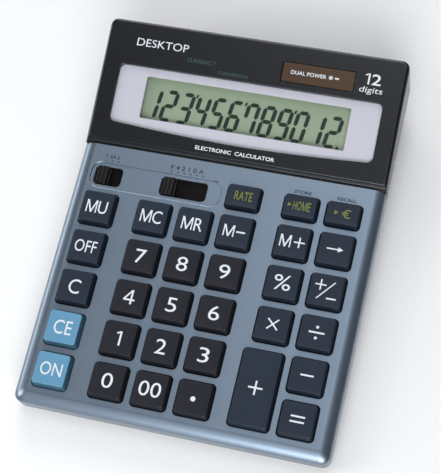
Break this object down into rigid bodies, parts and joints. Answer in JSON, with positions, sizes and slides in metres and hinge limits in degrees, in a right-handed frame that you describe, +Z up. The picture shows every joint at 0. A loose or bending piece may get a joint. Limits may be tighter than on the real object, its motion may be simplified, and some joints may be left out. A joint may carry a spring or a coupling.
{
  "type": "desk calculator",
  "caption": "Desk calculator with a sloping key deck, slide switches, and a raised display head with an LCD window and a solar cell.",
  "frame": {"origin": "on the desk, below the middle of the body's plan", "axes": "+X to the user's right, +Y from the front edge to the display head, +Z up"},
  "size_m": [0.139, 0.181, 0.0366],
  "materials": {
    "silver_paint": "satin metallic paint on moulded ABS",
    "black_gloss": "near-black moulded plastic, low gloss",
    "dark_plastic": "fine textured dark grey moulding",
    "slate_key": "satin slate blue-grey keycap with a white printed legend",
    "charcoal_key": "satin charcoal keycap with a white printed legend",
    "blue_key": "light blue top on a dark skirt, white printed legend",
    "switch_knob": "dark brown-black moulding",
    "clear_lens": "clear acrylic",
    "pale_bezel": "pale lilac-silver printed surround",
    "lcd_glass": "grey-green reflective liquid crystal display",
    "white_nylon": "natural nylon",
    "zebra_rubber": "pink elastomer connector",
    "circuit_board": "green solder mask",
    "chip_resin": "black epoxy",
    "solar_cell": "brown amorphous silicon under glass",
    "silicone": "grey silicone rubber",
    "ribbon": "amber polyimide film",
    "cell_sleeve": "plain grey battery sleeve",
    "plated_steel": "nickel plated spring steel",
    "foot_rubber": "black rubber",
    "screw_steel": "zinc plated steel"
  },
  "bodies": {
    "root": {"top_case": "silver_paint", "bottom_case": "dark_plastic", "display_cover": "black_gloss", "display_window": "clear_lens", "display_bezel": "pale_bezel", "lcd_panel": "lcd_glass", "lcd_frame": "white_nylon", "zebra_strip": "zebra_rubber", "display_board": "circuit_board", "controller_chip": "chip_resin", "solar_panel": "solar_cell", "main_board": "circuit_board", "keypad_membrane": "silicone", "display_ribbon": "ribbon", "battery_cell": "cell_sleeve", "battery_spring_contact": "plated_steel", "battery_plate_contact": "plated_steel", "front_left_foot": "foot_rubber", "front_left_screw": "screw_steel", "front_right_foot": "foot_rubber", "front_right_screw": "screw_steel", "rear_left_foot": "foot_rubber", "rear_left_screw": "screw_steel", "rear_right_foot": "foot_rubber", "rear_right_screw": "screw_steel"},
    "key_mu": {"key_mu": "slate_key"},
    "key_mc": {"key_mc": "slate_key"},
    "key_mr": {"key_mr": "slate_key"},
    "key_m_minus": {"key_m_minus": "slate_key"},
    "key_m_plus": {"key_m_plus": "slate_key"},
    "key_backspace": {"key_backspace": "slate_key"},
    "key_off": {"key_off": "slate_key"},
    "key_7": {"key_7": "charcoal_key"},
    "key_8": {"key_8": "charcoal_key"},
    "key_9": {"key_9": "charcoal_key"},
    "key_percent": {"key_percent": "slate_key"},
    "key_change_sign": {"key_change_sign": "slate_key"},
    "key_clear": {"key_clear": "slate_key"},
    "key_4": {"key_4": "charcoal_key"},
    "key_5": {"key_5": "charcoal_key"},
    "key_6": {"key_6": "charcoal_key"},
    "key_multiply": {"key_multiply": "slate_key"},
    "key_divide": {"key_divide": "slate_key"},
    "key_clear_entry": {"key_clear_entry": "blue_key"},
    "key_1": {"key_1": "charcoal_key"},
    "key_2": {"key_2": "charcoal_key"},
    "key_3": {"key_3": "charcoal_key"},
    "key_minus": {"key_minus": "slate_key"},
    "key_on": {"key_on": "blue_key"},
    "key_0": {"key_0": "charcoal_key"},
    "key_00": {"key_00": "charcoal_key"},
    "key_decimal_point": {"key_decimal_point": "charcoal_key"},
    "key_equals": {"key_equals": "slate_key"},
    "key_rate": {"key_rate": "slate_key"},
    "key_home_currency": {"key_home_currency": "slate_key"},
    "key_other_currency": {"key_other_currency": "slate_key"},
    "key_plus": {"key_plus": "slate_key"},
    "rounding_switch_knob": {"rounding_switch_knob": "switch_knob"},
    "decimal_switch_knob": {"decimal_switch_knob": "switch_knob"},
    "battery_door": {"battery_door": "dark_plastic"}
  },
  "joints": [
    {"name": "press_mu", "type": "slide", "parent": "root", "child": "key_mu", "axis": [0, 0.0523, -0.9986], "range_m": [0, 0.0015], "stiffness_N_per_m": 300, "springref_m": -0.0005},
    {"name": "press_mc", "type": "slide", "parent": "root", "child": "key_mc", "axis": [0, 0.0523, -0.9986], "range_m": [0, 0.0015], "stiffness_N_per_m": 300, "springref_m": -0.0005},
    {"name": "press_mr", "type": "slide", "parent": "root", "child": "key_mr", "axis": [0, 0.0523, -0.9986], "range_m": [0, 0.0015], "stiffness_N_per_m": 300, "springref_m": -0.0005},
    {"name": "press_m_minus", "type": "slide", "parent": "root", "child": "key_m_minus", "axis": [0, 0.0523, -0.9986], "range_m": [0, 0.0015], "stiffness_N_per_m": 300, "springref_m": -0.0005},
    {"name": "press_m_plus", "type": "slide", "parent": "root", "child": "key_m_plus", "axis": [0, 0.0523, -0.9986], "range_m": [0, 0.0015], "stiffness_N_per_m": 300, "springref_m": -0.0005},
    {"name": "press_backspace", "type": "slide", "parent": "root", "child": "key_backspace", "axis": [0, 0.0523, -0.9986], "range_m": [0, 0.0015], "stiffness_N_per_m": 300, "springref_m": -0.0005},
    {"name": "press_off", "type": "slide", "parent": "root", "child": "key_off", "axis": [0, 0.0523, -0.9986], "range_m": [0, 0.0015], "stiffness_N_per_m": 300, "springref_m": -0.0005},
    {"name": "press_7", "type": "slide", "parent": "root", "child": "key_7", "axis": [0, 0.0523, -0.9986], "range_m": [0, 0.0015], "stiffness_N_per_m": 300, "springref_m": -0.0005},
    {"name": "press_8", "type": "slide", "parent": "root", "child": "key_8", "axis": [0, 0.0523, -0.9986], "range_m": [0, 0.0015], "stiffness_N_per_m": 300, "springref_m": -0.0005},
    {"name": "press_9", "type": "slide", "parent": "root", "child": "key_9", "axis": [0, 0.0523, -0.9986], "range_m": [0, 0.0015], "stiffness_N_per_m": 300, "springref_m": -0.0005},
    {"name": "press_percent", "type": "slide", "parent": "root", "child": "key_percent", "axis": [0, 0.0523, -0.9986], "range_m": [0, 0.0015], "stiffness_N_per_m": 300, "springref_m": -0.0005},
    {"name": "press_change_sign", "type": "slide", "parent": "root", "child": "key_change_sign", "axis": [0, 0.0523, -0.9986], "range_m": [0, 0.0015], "stiffness_N_per_m": 300, "springref_m": -0.0005},
    {"name": "press_clear", "type": "slide", "parent": "root", "child": "key_clear", "axis": [0, 0.0523, -0.9986], "range_m": [0, 0.0015], "stiffness_N_per_m": 300, "springref_m": -0.0005},
    {"name": "press_4", "type": "slide", "parent": "root", "child": "key_4", "axis": [0, 0.0523, -0.9986], "range_m": [0, 0.0015], "stiffness_N_per_m": 300, "springref_m": -0.0005},
    {"name": "press_5", "type": "slide", "parent": "root", "child": "key_5", "axis": [0, 0.0523, -0.9986], "range_m": [0, 0.0015], "stiffness_N_per_m": 300, "springref_m": -0.0005},
    {"name": "press_6", "type": "slide", "parent": "root", "child": "key_6", "axis": [0, 0.0523, -0.9986], "range_m": [0, 0.0015], "stiffness_N_per_m": 300, "springref_m": -0.0005},
    {"name": "press_multiply", "type": "slide", "parent": "root", "child": "key_multiply", "axis": [0, 0.0523, -0.9986], "range_m": [0, 0.0015], "stiffness_N_per_m": 300, "springref_m": -0.0005},
    {"name": "press_divide", "type": "slide", "parent": "root", "child": "key_divide", "axis": [0, 0.0523, -0.9986], "range_m": [0, 0.0015], "stiffness_N_per_m": 300, "springref_m": -0.0005},
    {"name": "press_clear_entry", "type": "slide", "parent": "root", "child": "key_clear_entry", "axis": [0, 0.0523, -0.9986], "range_m": [0, 0.0015], "stiffness_N_per_m": 300, "springref_m": -0.0005},
    {"name": "press_1", "type": "slide", "parent": "root", "child": "key_1", "axis": [0, 0.0523, -0.9986], "range_m": [0, 0.0015], "stiffness_N_per_m": 300, "springref_m": -0.0005},
    {"name": "press_2", "type": "slide", "parent": "root", "child": "key_2", "axis": [0, 0.0523, -0.9986], "range_m": [0, 0.0015], "stiffness_N_per_m": 300, "springref_m": -0.0005},
    {"name": "press_3", "type": "slide", "parent": "root", "child": "key_3", "axis": [0, 0.0523, -0.9986], "range_m": [0, 0.0015], "stiffness_N_per_m": 300, "springref_m": -0.0005},
    {"name": "press_minus", "type": "slide", "parent": "root", "child": "key_minus", "axis": [0, 0.0523, -0.9986], "range_m": [0, 0.0015], "stiffness_N_per_m": 300, "springref_m": -0.0005},
    {"name": "press_on", "type": "slide", "parent": "root", "child": "key_on", "axis": [0, 0.0523, -0.9986], "range_m": [0, 0.0015], "stiffness_N_per_m": 300, "springref_m": -0.0005},
    {"name": "press_0", "type": "slide", "parent": "root", "child": "key_0", "axis": [0, 0.0523, -0.9986], "range_m": [0, 0.0015], "stiffness_N_per_m": 300, "springref_m": -0.0005},
    {"name": "press_00", "type": "slide", "parent": "root", "child": "key_00", "axis": [0, 0.0523, -0.9986], "range_m": [0, 0.0015], "stiffness_N_per_m": 300, "springref_m": -0.0005},
    {"name": "press_decimal_point", "type": "slide", "parent": "root", "child": "key_decimal_point", "axis": [0, 0.0523, -0.9986], "range_m": [0, 0.0015], "stiffness_N_per_m": 300, "springref_m": -0.0005},
    {"name": "press_equals", "type": "slide", "parent": "root", "child": "key_equals", "axis": [0, 0.0523, -0.9986], "range_m": [0, 0.0015], "stiffness_N_per_m": 300, "springref_m": -0.0005},
    {"name": "press_rate", "type": "slide", "parent": "root", "child": "key_rate", "axis": [0, 0.0523, -0.9986], "range_m": [0, 0.0015], "stiffness_N_per_m": 300, "springref_m": -0.0005},
    {"name": "press_home_currency", "type": "slide", "parent": "root", "child": "key_home_currency", "axis": [0, 0.0523, -0.9986], "range_m": [0, 0.0015], "stiffness_N_per_m": 300, "springref_m": -0.0005},
    {"name": "press_other_currency", "type": "slide", "parent": "root", "child": "key_other_currency", "axis": [0, 0.0523, -0.9986], "range_m": [0, 0.0015], "stiffness_N_per_m": 300, "springref_m": -0.0005},
    {"name": "press_plus", "type": "slide", "parent": "root", "child": "key_plus", "axis": [0, 0.0523, -0.9986], "range_m": [0, 0.0015], "stiffness_N_per_m": 300, "springref_m": -0.0005},
    {"name": "rounding_switch_slide", "type": "slide", "parent": "root", "child": "rounding_switch_knob", "axis": [1, 0, 0], "range_m": [0, 0.00588]},
    {"name": "decimal_switch_slide", "type": "slide", "parent": "root", "child": "decimal_switch_knob", "axis": [1, 0, 0], "range_m": [0, 0.0147]},
    {"name": "battery_door_slide", "type": "slide", "parent": "root", "child": "battery_door", "axis": [0, 1, 0], "range_m": [0, 0.022]}
  ]
}
